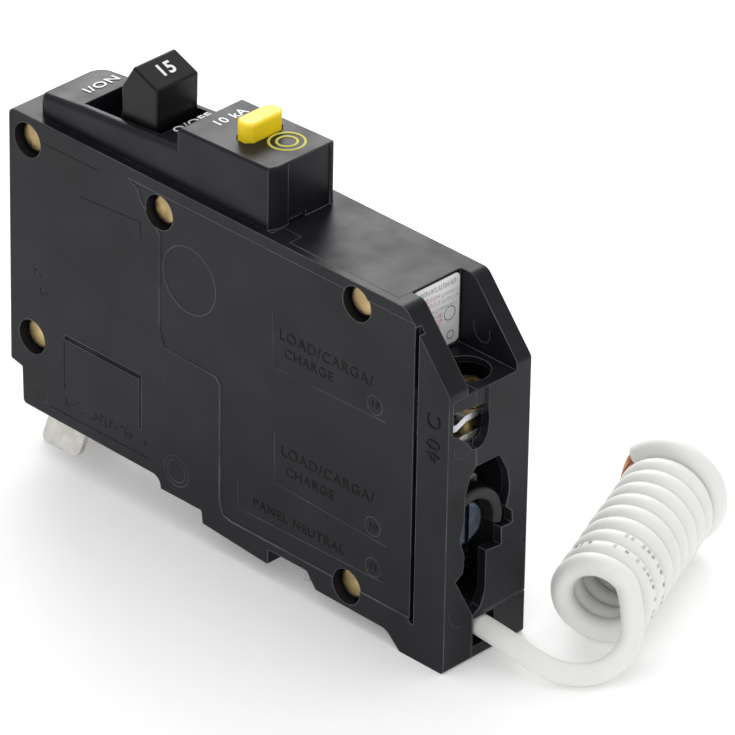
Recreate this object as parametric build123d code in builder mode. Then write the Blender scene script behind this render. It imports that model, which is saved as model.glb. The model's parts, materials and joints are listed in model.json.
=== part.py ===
from build123d import *
import os
from math import cos, sin, tan, radians

os.makedirs("parts", exist_ok=True)

# ---------------------------------------------------------------------------------------------
# One-pole ground-fault circuit breaker with a coiled neutral pigtail.  Millimetres.
# +X runs from the line jaw to the load terminals, +Y across the one-inch-class pole width,
# +Z from the mounting side (jaw and rail hook) to the handle.  Origin: centre of the foot plane.
# ---------------------------------------------------------------------------------------------

# Casing
LENGTH = 103.0
WIDTH = 19.05
CASE_TOP = 65.4
WALL = 1.8
SEAM_Y = -2.8
LINE_X = -LENGTH / 2
LOAD_X = LENGTH / 2
COVER_Y = -WIDTH / 2
BACK_Y = WIDTH / 2
IN_LOW = COVER_Y + WALL
IN_HIGH = BACK_Y - WALL
CEILING = CASE_TOP - 2.0
FOOT_START = 41.5

# Side outline of the casing: corner points (x, z) and the radius of each corner
OUTLINE = [
    ((LOAD_X, 0.0), 0.8),
    ((LOAD_X, 53.1), 1.2),
    ((41.4, CASE_TOP), 2.2),
    ((LINE_X, CASE_TOP), 1.3),
    ((LINE_X, 16.6), 0.4),
    ((-48.7, 16.0), 0.3),
    ((-48.5, 9.0), 0.8),
    ((-14.9, 8.7), 2.0),
    ((-14.9, 6.5), 0.1),
    ((-5.1, 6.5), 0.3),
    ((-4.8, 4.1), 0.3),
    ((10.7, 3.0), 0.2),
    ((10.7, 5.9), 0.3),
    ((19.8, 5.9), 0.6),
    ((22.0, 3.1), 0.6),
    ((38.3, 2.9), 2.5),
    ((FOOT_START, 0.0), 0.5),
]

# Chambers inside the casing, (x, z) corner points
MECHANISM_CHAMBER = [
    (-49.5, CEILING), (3.5, CEILING), (3.5, 8.5), (-12.8, 8.5), (-12.8, 11.0), (-46.5, 11.0),
    (-46.5, 18.6), (-49.5, 18.6),
]
ELECTRONICS_X = (5.0, 36.5)
ELECTRONICS_Z = (8.5, CEILING)

# Rivets: (x, z) of each centre
RIVETS = [(-47.1, 60.7), (-15.6, 59.6), (-46.3, 22.8), (30.2, 61.4), (29.0, 6.9)]
RIVET_BORE = 1.6
RIVET_SHANK = 1.5
RIVET_HEAD = 3.0
RIVET_RECESS = 3.2
RIVET_DEPTH = 2.7
RIVET_BACK_DEPTH = 1.2
BOSS_WIDE = 4.0
BOSS_SLIM = 2.8

# Escutcheon: the raised part around the handle and the taller block with the test button
NOSE_LOW, NOSE_HIGH = -7.9, 6.3
NOSE_X = -45.85
NOSE_TOP = [(NOSE_X, 69.6), (-36.0, 70.7), (-26.4, 71.4), (-13.0, 72.6)]
BLOCK_X = (-12.7, 9.3)
BLOCK_HIGH = 6.9
BLOCK_FACE = [(8.3, NOSE_LOW), (9.1, -6.1), (9.25, 6.2), (8.6, BLOCK_HIGH)]
BLOCK_TOP = (76.1, 76.9)
SLOT_X = (-36.5, -18.3)
SLOT_Y = (-6.3, 4.7)

# Handle
PIVOT_X, PIVOT_Z = -27.4, 60.5
TRUNNION = 2.0
RUNNING_GAP = 0.05
DRUM = 8.5
DRUM_WALL = 1.4
DRUM_Y = (-5.3, 3.5)
KNOB_Y = (-5.7, 3.9)
MID_Y = -0.9
HOOK_X, HOOK_Z = -29.7, 52.85
ARM_PIN = 0.8

# Test button
BUTTON_X, BUTTON_Y = -1.9, 0.3
BUTTON_SIZE = (3.8, 8.6)
BUTTON_TOP = 79.9
BUTTON_GAP = 0.12
BUTTON_CORNER = 1.1

# Solenoid, along X through the partition
SOLENOID_Y, SOLENOID_Z = -0.6, 48.2

# Load end
LABEL_WALL = 38.4
POCKET_Y = (-5.2, 6.2)
POCKET_FLOOR = 51.6
POWER_SCREW = (45.3, 0.6)
POWER_HOLE = 4.2
NEUTRAL_SCREW = (-2.6, 25.3)
TERMINAL_SHANK = 1.9
END_WALL = 1.8

# Pigtail
WIRE = 3.9
WIRE_R = WIRE / 2
EXIT = (50.5, -0.2, 5.5)
COIL_FRONT = (63.45, 14.48, 8.7)
COIL_BACK = (48.84, 48.76, 8.7)
COIL_OUTER = 8.7


# ------------------------------------------------------------------------------------ helpers
def prism_y(points, y_low, y_high, mode=Mode.ADD):
    """Prism with an (x, z) outline between two planes across the width."""
    with BuildSketch(Plane.XZ.offset(-y_high)) as outline:
        with BuildLine():
            Polyline(*points, close=True)
        make_face()
    extrude(outline.sketch, amount=y_high - y_low, mode=mode)


def prism_x(points, x_low, x_high, mode=Mode.ADD):
    """Prism with a (y, z) outline between two planes along the length."""
    with BuildSketch(Plane.YZ.offset(x_low)) as outline:
        with BuildLine():
            Polyline(*points, close=True)
        make_face()
    extrude(outline.sketch, amount=x_high - x_low, mode=mode)


def block(x, y, z, mode=Mode.ADD):
    """Box between two limits on each axis."""
    centre = ((x[0] + x[1]) / 2, (y[0] + y[1]) / 2, (z[0] + z[1]) / 2)
    with Locations(centre):
        Box(x[1] - x[0], y[1] - y[0], z[1] - z[0], mode=mode)


def rod_y(x, z, radius, y_low, y_high, mode=Mode.ADD):
    """Cylinder across the width."""
    with BuildSketch(Plane.XZ.offset(-y_high)) as outline:
        with Locations((x, z)):
            Circle(radius)
    extrude(outline.sketch, amount=y_high - y_low, mode=mode)


def rod_x(y, z, radius, x_low, x_high, mode=Mode.ADD):
    """Cylinder along the length."""
    with BuildSketch(Plane.YZ.offset(x_low)) as outline:
        with Locations((y, z)):
            Circle(radius)
    extrude(outline.sketch, amount=x_high - x_low, mode=mode)


def rod_z(x, y, radius, z_low, z_high, mode=Mode.ADD):
    """Upright cylinder."""
    with BuildSketch(Plane.XY.offset(z_low)) as outline:
        with Locations((x, y)):
            Circle(radius)
    extrude(outline.sketch, amount=z_high - z_low, mode=mode)


def bend_radii(points, share=0.45):
    """Radius of each inner corner of a route: as large as its two runs allow."""
    vectors = [Vector(*p) for p in points]
    radii = []
    for before, corner, after in zip(vectors, vectors[1:], vectors[2:]):
        turn = (corner - before).get_angle(after - corner)
        shorter = min((corner - before).length, (after - corner).length)
        radii.append(share * shorter / tan(radians(turn) / 2))
    return radii


def round_wire(points, radius, mode=Mode.ADD):
    """Round section swept along straight runs joined by tangent arcs."""
    with BuildLine() as route:
        FilletPolyline(*points, radius=bend_radii(points))
    start = Vector(*points[0])
    heading = Vector(*points[1]) - start
    with BuildSketch(Plane(origin=start, z_dir=heading)) as section:
        Circle(radius)
    sweep(section.sketch, path=route.line, mode=mode)


def coil_spring(base, direction, length, radius, wire, turns):
    """Round-wire helical spring from a base point along a direction."""
    frame = Plane(origin=base, z_dir=direction)
    with BuildLine() as helix:
        Helix(length / turns, length, radius, center=base, direction=direction)
    start = helix.line @ 0
    heading = helix.line % 0
    with BuildSketch(Plane(origin=start, x_dir=frame.z_dir, z_dir=heading)) as section:
        Circle(wire)
    sweep(section.sketch, path=helix.line, is_frenet=True)


def case_outline():
    """Closed side outline of the casing, in the plane of the open sketch."""
    FilletPolyline(*[p for p, r in OUTLINE], radius=[r for p, r in OUTLINE], close=True)


# Route of the pigtail inside the casing, out of its exit in the foot
INNER_ROUTE = [(33.2, -0.7, 12.4), (36.2, -0.6, 9.6), (40.3, -0.4, 6.3), EXIT]

# Route of the free lead from the exit along the surface and up into the coil's first turn
LEAD_ROUTE = [
    EXIT, (55.6, -0.1, 5.1), (60.6, 0.3, 3.9), (65.4, 1.5, 2.5), (69.0, 4.0, 1.97),
    (71.2, 7.6, 2.1), (72.3, 11.0, 3.8), (72.4, 13.7, 7.0), (71.3, 15.9, 10.3),
]

END_OPENING = [
    (-2.9, 37.3), (2.6, 37.2), (4.6, 33.5), (5.2, 30.5), (5.1, 28.5), (4.5, 26.5), (6.0, 25.0),
    (6.1, 22.8), (3.5, 22.9), (3.6, 19.6), (0.0, 20.0), (0.0, 12.5), (-1.0, 9.6), (-2.8, 8.6),
    (-7.1, 16.9), (-5.4, 18.0), (-5.1, 21.0), (-6.2, 24.5), (-5.4, 27.4), (-5.3, 32.4), (-4.3, 35.5),
]
WIRE_WINDOW = [
    (-8.5, 49.2), (-8.5, 45.2), (-6.6, 43.9), (-4.9, 42.5), (-3.9, 40.9), (-2.1, 40.6), (-1.1, 41.1),
    (-0.3, 42.5), (0.0, 45.1), (-0.3, 48.2),
]
# Ramp that leads a wire into the lower window: foot and head of its front edge, and its width
RAMP_FOOT = (-2.8, 8.6)
RAMP_HEAD = (-7.1, 16.9)
RAMP_WIDTH = 1.4
PANEL_RECESS = 0.35
SEAM_LINE = 0.15


def load_end_cuts():
    """Terminal chambers, windows, screw well and pocket shared by both halves of the casing."""
    block((39.4, LOAD_X - END_WALL), (-8.5, 5.6), (41.4, 50.4), mode=Mode.SUBTRACT)
    prism_x(WIRE_WINDOW, LOAD_X - END_WALL - 0.1, LOAD_X + 1, mode=Mode.SUBTRACT)
    block((LOAD_X - PANEL_RECESS, LOAD_X + 1), (-8.5, -0.3), (48.1, 51.5), mode=Mode.SUBTRACT)
    block((LOAD_X - SEAM_LINE, LOAD_X + 1), (-0.2, BACK_Y + 1), (8.1, 8.4), mode=Mode.SUBTRACT)
    rise = Vector(0, RAMP_HEAD[0] - RAMP_FOOT[0], RAMP_HEAD[1] - RAMP_FOOT[1])
    ramp_plane = Plane(origin=(LOAD_X, *RAMP_FOOT), x_dir=(0, rise.Z, -rise.Y), z_dir=rise)
    with BuildSketch(ramp_plane) as ramp:
        with BuildLine():
            Polyline((0, -1), (0, 0), (RAMP_WIDTH, END_WALL), (RAMP_WIDTH + 0.5, END_WALL),
                     (RAMP_WIDTH + 0.5, -1), close=True)
        make_face()
    extrude(ramp.sketch, amount=rise.length, mode=Mode.SUBTRACT)
    block((36.0, 39.6), (-6.0, -0.4), (41.8, 46.4), mode=Mode.SUBTRACT)
    block((40.6, LOAD_X - END_WALL), (-8.0, 6.2), (9.6, 36.8), mode=Mode.SUBTRACT)
    prism_x(END_OPENING, 48.0, LOAD_X + 1, mode=Mode.SUBTRACT)
    block((36.0, 40.8), (-6.4, -3.2), (13.4, 17.0), mode=Mode.SUBTRACT)
    block((LABEL_WALL, LOAD_X + 1), POCKET_Y, (POCKET_FLOOR, CASE_TOP + 1), mode=Mode.SUBTRACT)
    rod_z(*POWER_SCREW, POWER_HOLE, 49.0, 53.0, mode=Mode.SUBTRACT)
    rod_z(*POWER_SCREW, 2.4, 37.8, 42.0, mode=Mode.SUBTRACT)
    rod_x(*NEUTRAL_SCREW, 2.4, 38.0, 41.0, mode=Mode.SUBTRACT)


def rail_and_jaw_cuts():
    """Openings in the mounting side: the jaw's mouth and the groove of the hook spring."""
    block((-47.3, -38.9), (-6.3, 6.3), (8.0, 12.0), mode=Mode.SUBTRACT)
    block((17.9, 19.7), (-8.4, 8.4), (4.6, 7.3), mode=Mode.SUBTRACT)


def partition_cuts():
    """Passages through the wall between the mechanism and the electronics."""
    block((3.0, 5.5), (-7.4, -3.4), (14.2, 20.0), mode=Mode.SUBTRACT)
    block((3.0, 5.5), (-2.7, 3.3), (57.3, CEILING), mode=Mode.SUBTRACT)


# ---------------------------------------------------------------------------------- case_base
# Deep half of the casing on the +Y side, moulded in one with the escutcheon.
with BuildPart() as case_base:
    # raised escutcheon around the handle, sloping up towards the test button
    nose = [(NOSE_X, CEILING)] + NOSE_TOP + [(-8.0, 72.6), (-8.0, CEILING)]
    prism_y(nose, NOSE_LOW, NOSE_HIGH)
    back_corner = case_base.edges().filter_by(Axis.Z).filter_by_position(Axis.Y, 6, 7)
    fillet(back_corner.sort_by(Axis.X)[0], 3.2)
    front_corner = case_base.edges().filter_by(Axis.Z).filter_by_position(Axis.Y, -8, -7)
    fillet(front_corner.sort_by(Axis.X)[0], 1.4)
    rim = case_base.edges().filter_by_position(Axis.Z, 69.3, 73.0)
    fillet(rim.filter_by_position(Axis.Y, NOSE_LOW - 0.1, NOSE_LOW + 1.5), 1.1)
    # block with the test button
    block_face = [
        (BLOCK_X[0], CEILING), (BLOCK_X[0], BLOCK_TOP[0]), (BLOCK_X[1], BLOCK_TOP[1]),
        (BLOCK_X[1], CEILING),
    ]
    prism_y(block_face, NOSE_LOW, BLOCK_HIGH)
    with BuildSketch(Plane.XY.offset(CEILING)):
        with BuildLine():
            Polyline(*BLOCK_FACE, (BLOCK_X[1] + 1, BLOCK_HIGH), (BLOCK_X[1] + 1, NOSE_LOW), close=True)
        make_face()
    extrude(amount=20, mode=Mode.SUBTRACT)
    crown = case_base.edges().filter_by_position(Axis.Z, 75.9, 77.1)
    fillet(crown, 0.5)
    block((BLOCK_X[1] - 0.35, BLOCK_X[1] + 0.1), (-4.0, 5.7), (CASE_TOP, 77.5), mode=Mode.SUBTRACT)
    block((BLOCK_X[1] - 1.2, BLOCK_X[1] + 0.1), (-3.7, 0.2), (CASE_TOP - 0.1, 66.4), mode=Mode.SUBTRACT)
    # deep half of the box, and the top wall reaching over the side cover
    with BuildSketch(Plane.XZ.offset(-BACK_Y)):
        with BuildLine():
            case_outline()
        make_face()
    extrude(amount=BACK_Y - SEAM_Y)
    block((NOSE_X, BLOCK_X[1]), (NOSE_LOW, SEAM_Y), (CEILING, CASE_TOP))
    block((BLOCK_X[1], 13.5), (-5.3, SEAM_Y), (CEILING, CASE_TOP))
    block((13.5, LABEL_WALL), (-8.0, SEAM_Y), (CEILING, CASE_TOP))
    # chambers
    prism_y(MECHANISM_CHAMBER, SEAM_Y - 0.1, IN_HIGH, mode=Mode.SUBTRACT)
    block(ELECTRONICS_X, (SEAM_Y - 0.1, IN_HIGH), ELECTRONICS_Z, mode=Mode.SUBTRACT)
    block((-9.7, 7.0), (-6.3, 5.4), (CEILING - 0.1, 74.6), mode=Mode.SUBTRACT)
    block((-44.2, -38.2), (-6.3, 4.7), (CEILING - 0.1, 68.0), mode=Mode.SUBTRACT)
    block((-16.6, -9.7), (-6.3, 4.7), (CEILING - 0.1, 70.4), mode=Mode.SUBTRACT)
    # rivet bosses and bores
    for x, z in RIVETS:
        rod_y(x, z, BOSS_SLIM, SEAM_Y, IN_HIGH + 0.1)
    for x, z in RIVETS:
        rod_y(x, z, RIVET_BORE, SEAM_Y - 0.1, BACK_Y + 0.1, mode=Mode.SUBTRACT)
        rod_y(x, z, RIVET_RECESS, BACK_Y - RIVET_BACK_DEPTH, BACK_Y + 0.1, mode=Mode.SUBTRACT)
        rod_y(x, z, RIVET_RECESS, COVER_Y, COVER_Y + RIVET_DEPTH, mode=Mode.SUBTRACT)
    # handle slot, bearing, and post of the trip lever
    block(SLOT_X, SLOT_Y, (CEILING - 0.1, 73.0), mode=Mode.SUBTRACT)
    rod_y(PIVOT_X, PIVOT_Z, TRUNNION + RUNNING_GAP, 7.0, 8.9, mode=Mode.SUBTRACT)
    rod_y(-12.0, 47.0, 1.9, -1.0, IN_HIGH + 0.1)
    # guide of the test button
    with BuildSketch(Plane.XY.offset(74.0)) as guide:
        with Locations((BUTTON_X, BUTTON_Y)):
            Rectangle(BUTTON_SIZE[0] + 2 * BUTTON_GAP, BUTTON_SIZE[1] + 2 * BUTTON_GAP)
        chamfer(guide.vertices(), BUTTON_CORNER)
    extrude(guide.sketch, amount=4.0, mode=Mode.SUBTRACT)
    # plunger rod's hole, wire passages, terminals, mounting side
    rod_x(SOLENOID_Y, SOLENOID_Z, 1.5, 3.0, 5.5, mode=Mode.SUBTRACT)
    partition_cuts()
    load_end_cuts()
    rail_and_jaw_cuts()
    # channel and exit of the pigtail
    round_wire(INNER_ROUTE, WIRE_R + 0.08, mode=Mode.SUBTRACT)
    block((47.6, LOAD_X + 1), (-2.7, 2.4), (2.4, 7.8), mode=Mode.SUBTRACT)
case_base.part.label = "case_base"
export_step(case_base.part, "parts/case_base.step")

# --------------------------------------------------------------------------------- side_cover
# Shallow half of the casing on the -Y side, with its raised and sunk panels.
PANEL_EDGE = [
    (-22.8, 63.2), (-20.5, 61.9), (-20.1, 60.2), (-15.4, 55.5), (-15.4, 37.3), (-14.4, 34.3),
    (-2.0, 33.9), (-1.0, 32.8), (-0.9, 10.4), (-0.1, 7.9), (1.8, 7.4), (43.4, 7.4), (43.4, 63.2),
]
PANEL_SINK = 0.2
GROOVE_X = (43.4, 44.5)
with BuildPart() as side_cover:
    with BuildSketch(Plane.XZ.offset(-SEAM_Y)):
        with BuildLine():
            case_outline()
        make_face()
    extrude(amount=SEAM_Y - COVER_Y)
    # room for the escutcheon and the top wall of the deep half
    block((NOSE_X, BLOCK_X[1]), (NOSE_LOW, SEAM_Y + 1), (CEILING, CASE_TOP + 1), mode=Mode.SUBTRACT)
    block((BLOCK_X[1], 13.5), (-5.3, SEAM_Y + 1), (CEILING, CASE_TOP + 1), mode=Mode.SUBTRACT)
    block((13.5, LABEL_WALL), (-8.0, SEAM_Y + 1), (CEILING, CASE_TOP + 1), mode=Mode.SUBTRACT)
    # chambers
    prism_y(MECHANISM_CHAMBER, IN_LOW, SEAM_Y + 0.1, mode=Mode.SUBTRACT)
    block(ELECTRONICS_X, (IN_LOW, SEAM_Y + 0.1), ELECTRONICS_Z, mode=Mode.SUBTRACT)
    # rivet bosses: wide behind each recess, slim up to the seam
    for x, z in RIVETS:
        rod_y(x, z, BOSS_WIDE, IN_LOW - 0.1, -6.1)
        rod_y(x, z, BOSS_SLIM, -6.2, SEAM_Y)
    with BuildSketch(Plane.XZ.offset(-SEAM_Y)) as trim:
        with BuildLine():
            case_outline()
        make_face()
    extrude(trim.sketch, amount=SEAM_Y - COVER_Y, mode=Mode.INTERSECT)
    for x, z in RIVETS:
        rod_y(x, z, RIVET_BORE, COVER_Y - 0.1, SEAM_Y + 0.1, mode=Mode.SUBTRACT)
        rod_y(x, z, RIVET_RECESS, COVER_Y - 0.1, COVER_Y + RIVET_DEPTH, mode=Mode.SUBTRACT)
    block((NOSE_X, BLOCK_X[1]), (NOSE_LOW, SEAM_Y + 1), (CEILING, CASE_TOP + 1), mode=Mode.SUBTRACT)
    block((13.5, LABEL_WALL), (-8.0, SEAM_Y + 1), (CEILING, CASE_TOP + 1), mode=Mode.SUBTRACT)
    rod_y(PIVOT_X, PIVOT_Z, TRUNNION + RUNNING_GAP, -8.8, -7.0, mode=Mode.SUBTRACT)
    # panels: slightly sunk electronics side, deep groove before the load end, shallow slots
    prism_y(PANEL_EDGE, COVER_Y - 0.1, COVER_Y + PANEL_SINK, mode=Mode.SUBTRACT)
    block(GROOVE_X, (COVER_Y - 0.1, COVER_Y + 1.3), (6.6, 62.6), mode=Mode.SUBTRACT)
    block((-38.3, -19.9), (COVER_Y - 0.1, COVER_Y + 0.5), (25.7, 26.6), mode=Mode.SUBTRACT)
    block((-20.2, -19.6), (COVER_Y - 0.1, COVER_Y + 0.3), (15.9, 26.6), mode=Mode.SUBTRACT)
    rod_y(-8.5, 49.5, 6.2, COVER_Y - 0.1, COVER_Y + 0.35, mode=Mode.SUBTRACT)
    partition_cuts()
    load_end_cuts()
    rail_and_jaw_cuts()
    seam = (SEAM_Y - SEAM_LINE, SEAM_Y + 0.1)
    block((LOAD_X - SEAM_LINE, LOAD_X + 1), seam, (-0.1, POCKET_FLOOR), mode=Mode.SUBTRACT)
    block((FOOT_START, LOAD_X + 1), seam, (-0.1, SEAM_LINE), mode=Mode.SUBTRACT)
    block((LINE_X - 0.1, LINE_X + SEAM_LINE), seam, (16.0, CEILING - 1), mode=Mode.SUBTRACT)
side_cover.part.label = "side_cover"
export_step(side_cover.part, "parts/side_cover.step")

# ------------------------------------------------------------------------------------- rivets
# Five tubular rivets that clamp the two halves.
with BuildPart() as rivets:
    for x, z in RIVETS:
        head_y = COVER_Y + RIVET_DEPTH
        rod_y(x, z, RIVET_HEAD, head_y - 1.0, head_y)
        rod_y(x, z, RIVET_SHANK, head_y, BACK_Y - RIVET_BACK_DEPTH)
        rod_y(x, z, 2.4, BACK_Y - RIVET_BACK_DEPTH, BACK_Y - 0.4)
    rims = rivets.edges().filter_by(GeomType.CIRCLE).filter_by_position(
        Axis.Y, COVER_Y + RIVET_DEPTH - 1.01, COVER_Y + RIVET_DEPTH - 0.99)
    fillet(rims, 0.7)
rivets.part.label = "rivets"
export_step(rivets.part, "parts/rivets.step")

# ------------------------------------------------------------------------------------- handle
# Toggle with its curtain drum, hub, trunnions and the fork that carries the contact arm.
with BuildPart() as handle:
    knob = [
        (-30.2, 63.0), (-28.3, 71.5), (-28.5, 76.9), (-25.5, 81.7), (-19.8, 79.4), (-19.9, 71.8),
        (-22.4, 63.0),
    ]
    prism_y(knob, KNOB_Y[0], KNOB_Y[1])
    crown = handle.edges().filter_by_position(Axis.Z, 71.6, 82.0)
    fillet(crown, 0.5)
    block((-36.4, -18.4), (KNOB_Y[0] - 1, DRUM_Y[0]), (62.0, 70.3), mode=Mode.SUBTRACT)
    block((-36.4, -18.4), (DRUM_Y[1], KNOB_Y[1] + 1), (62.0, 70.3), mode=Mode.SUBTRACT)
    # curved curtain that closes the slot at every handle position
    curtain = [(PIVOT_X, PIVOT_Z), (-46.2, 67.3), (-46.2, 82.0), (-9.3, 82.0), (-9.3, 52.0)]
    with BuildSketch(Plane.XZ.offset(-DRUM_Y[1])) as shell:
        with Locations((PIVOT_X, PIVOT_Z)):
            Circle(DRUM)
            Circle(DRUM - DRUM_WALL, mode=Mode.SUBTRACT)
        with BuildLine():
            Polyline(*curtain, close=True)
        make_face(mode=Mode.INTERSECT)
    extrude(shell.sketch, amount=DRUM_Y[1] - DRUM_Y[0])
    # hub, trunnions and fork
    rod_y(PIVOT_X, PIVOT_Z, 3.6, DRUM_Y[0], DRUM_Y[1])
    rod_y(PIVOT_X, PIVOT_Z, TRUNNION, -8.6, 8.6)
    fork = [(-30.6, 60.0), (-24.4, 60.0), (-27.9, 52.3), (-31.4, 53.0)]
    prism_y(fork, DRUM_Y[0], DRUM_Y[1])
    rod_y(HOOK_X, HOOK_Z, 1.8, DRUM_Y[0], DRUM_Y[1])
    block((-34.0, -24.0), (-2.2, 0.4), (50.0, 56.6), mode=Mode.SUBTRACT)
    rod_y(HOOK_X, HOOK_Z, ARM_PIN + RUNNING_GAP, DRUM_Y[0] - 0.1, DRUM_Y[1] + 0.1, mode=Mode.SUBTRACT)
handle.part.label = "handle"
export_step(handle.part, "parts/handle.step")

# -------------------------------------------------------------------------------- contact_arm
# Copper blade that hangs in the handle's fork and carries the moving contact.
with BuildPart() as contact_arm:
    blade = [
        (-30.8, 54.8), (-28.6, 54.8), (-27.9, 50.0), (-27.7, 30.0), (-28.0, 22.0), (-30.0, 20.2),
        (-32.6, 20.6), (-33.39, 22.06), (-34.62, 25.44), (-34.4, 26.4), (-31.4, 31.0), (-31.2, 50.0),
    ]
    prism_y(blade, -1.7, -0.1)
    rod_y(HOOK_X, HOOK_Z, ARM_PIN, -4.9, 3.1)
contact_arm.part.label = "contact_arm"
export_step(contact_arm.part, "parts/contact_arm.step")

# ----------------------------------------------------------------------------- moving_contact
with BuildPart() as moving_contact:
    button = [(-34.47, 21.67), (-35.7, 25.05), (-34.62, 25.44), (-33.39, 22.06)]
    prism_y(button, -2.7, 0.9)
moving_contact.part.label = "moving_contact"
export_step(moving_contact.part, "parts/moving_contact.step")

# ---------------------------------------------------------------------------------- line_jaw
# Springy copper jaw that plugs on to the panel's bus stab; its lips flare at the mouth.
JAW_X = (-48.4, -39.3)
JAW_SHANK_X = -46.3
with BuildPart() as line_jaw:
    leaf = [
        (-1.9, 17.0), (-1.9, 13.2), (-1.0, 7.4), (-4.4, 0.0), (-5.6, 0.0), (-2.1, 7.6), (-2.9, 13.2),
        (-2.9, 18.0), (0.0, 18.0), (0.0, 17.0),
    ]
    prism_x(leaf, JAW_X[0], JAW_X[1])
    prism_x([(-y, z) for y, z in leaf], JAW_X[0], JAW_X[1])
    with BuildSketch(Plane.XZ.offset(-7)) as tab_shape:
        with BuildLine():
            FilletPolyline((JAW_X[0], 23), (JAW_X[0], 0), (JAW_X[1], 0), (JAW_X[1], 23),
                           radius=[0.5, 1.2, 1.2, 0.5], close=True)
        make_face()
    extrude(tab_shape.sketch, amount=14, mode=Mode.INTERSECT)
    block((JAW_X[0] - 1, JAW_SHANK_X), (-7, 7), (8.2, 20), mode=Mode.SUBTRACT)
line_jaw.part.label = "line_jaw"
export_step(line_jaw.part, "parts/line_jaw.step")

# ---------------------------------------------------------------------------- jaw_spring_clip
# Steel clip that squeezes the two leaves of the jaw.
with BuildPart() as jaw_spring_clip:
    clip = [
        (-3.0, 18.1), (-3.0, 13.1), (-2.4, 9.3), (-3.3, 9.3), (-3.9, 13.1), (-3.9, 19.0), (0.0, 19.0),
        (0.0, 18.1),
    ]
    prism_x(clip, JAW_SHANK_X, -43.4)
    prism_x([(-y, z) for y, z in clip], JAW_SHANK_X, -43.4)
jaw_spring_clip.part.label = "jaw_spring_clip"
export_step(jaw_spring_clip.part, "parts/jaw_spring_clip.step")

# ------------------------------------------------------------------------ stationary contact
with BuildPart() as stationary_strap:
    block((-42.8, -41.6), (-2.6, 0.8), (18.0, 31.0))
    block((-42.8, -39.4), (-2.6, 0.8), (18.0, 19.0))
stationary_strap.part.label = "stationary_strap"
export_step(stationary_strap.part, "parts/stationary_strap.step")

with BuildPart() as stationary_contact:
    block((-41.6, -40.5), (-2.6, 0.8), (25.0, 29.0))
    chamfer(stationary_contact.faces().sort_by(Axis.X)[-1].edges(), 0.25)
stationary_contact.part.label = "stationary_contact"
export_step(stationary_contact.part, "parts/stationary_contact.step")

# ----------------------------------------------------------------------------------- arc chute
# Steel splitter plates between two fibre cheeks.
CHUTE_LEVELS = [33.2 + 2.6 * i for i in range(5)]
with BuildPart() as arc_plates:
    for level in CHUTE_LEVELS:
        block((-48.9, -42.6), (-6.6, 6.6), (level, level + 1.0))
        notch = [(-42.5, -3.6), (-46.2, -0.9), (-42.5, 1.8)]
        with BuildSketch(Plane.XY.offset(level - 0.1)) as vee:
            with BuildLine():
                Polyline(*notch, close=True)
            make_face()
        extrude(vee.sketch, amount=1.2, mode=Mode.SUBTRACT)
arc_plates.part.label = "arc_plates"
export_step(arc_plates.part, "parts/arc_plates.step")

with BuildPart() as arc_chute_cheeks:
    block((-49.2, -42.4), (-7.5, -6.6), (31.8, 46.2))
    block((-49.2, -42.4), (6.6, 7.5), (31.8, 46.2))
arc_chute_cheeks.part.label = "arc_chute_cheeks"
export_step(arc_chute_cheeks.part, "parts/arc_chute_cheeks.step")

# --------------------------------------------------------------------------------- trip lever
# Latched lever on its moulded post; its nose rests beside the armature's ledge.
with BuildPart() as trip_lever:
    lever = [
        (-25.4, 39.2), (-23.6, 42.4), (-14.4, 50.6), (-9.6, 50.4), (-5.6, 46.3), (-5.6, 45.0),
        (-9.0, 43.3), (-13.0, 42.8), (-22.8, 37.6),
    ]
    prism_y(lever, 1.2, 2.8)
    rod_y(-12.0, 47.0, 1.95, 1.0, 3.0, mode=Mode.SUBTRACT)
    rod_y(-23.9, 39.9, 0.6, 1.0, 3.0, mode=Mode.SUBTRACT)
trip_lever.part.label = "trip_lever"
export_step(trip_lever.part, "parts/trip_lever.step")

# -------------------------------------------------------------------------- operating spring
with BuildPart() as operating_spring:
    coil_spring((-25.6, -4.1, 39.6), (-3.0, 0.0, -9.6), 10.2, 1.5, 0.3, 8)
operating_spring.part.label = "operating_spring"
export_step(operating_spring.part, "parts/operating_spring.step")

# ------------------------------------------------------------------ armature, yoke, bimetal
with BuildPart() as armature:
    block((-3.4, -2.2), (-4.0, 2.2), (26.4, 50.6))
    block((-4.9, -3.4), (0.6, 2.2), (43.6, 45.2))
    block((-3.6, -2.0), (SOLENOID_Y - 1.2, SOLENOID_Y + 1.2), (46.8, 51.0), mode=Mode.SUBTRACT)
    rod_y(-2.8, 27.0, 1.0, -4.8, 3.0)
armature.part.label = "armature"
export_step(armature.part, "parts/armature.step")

with BuildPart() as magnet_yoke:
    block((1.9, 2.9), (-5.5, 3.7), (30.0, 42.0))
    block((-1.4, 1.9), (-5.5, -4.5), (30.0, 42.0))
    block((-1.4, 1.9), (2.7, 3.7), (30.0, 42.0))
    rod_x(MID_Y, 33.0, 1.25, 1.5, 3.2, mode=Mode.SUBTRACT)
magnet_yoke.part.label = "magnet_yoke"
export_step(magnet_yoke.part, "parts/magnet_yoke.step")

with BuildPart() as bimetal:
    block((0.3, 1.1), (-3.5, 1.7), (19.6, 44.0))
bimetal.part.label = "bimetal"
export_step(bimetal.part, "parts/bimetal.step")

with BuildPart() as calibration_screw:
    rod_x(MID_Y, 33.0, 1.2, 1.2, 3.4)
    block((2.9, 3.5), (MID_Y - 0.2, MID_Y + 0.2), (31.5, 34.5), mode=Mode.SUBTRACT)
calibration_screw.part.label = "calibration_screw"
export_step(calibration_screw.part, "parts/calibration_screw.step")

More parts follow.
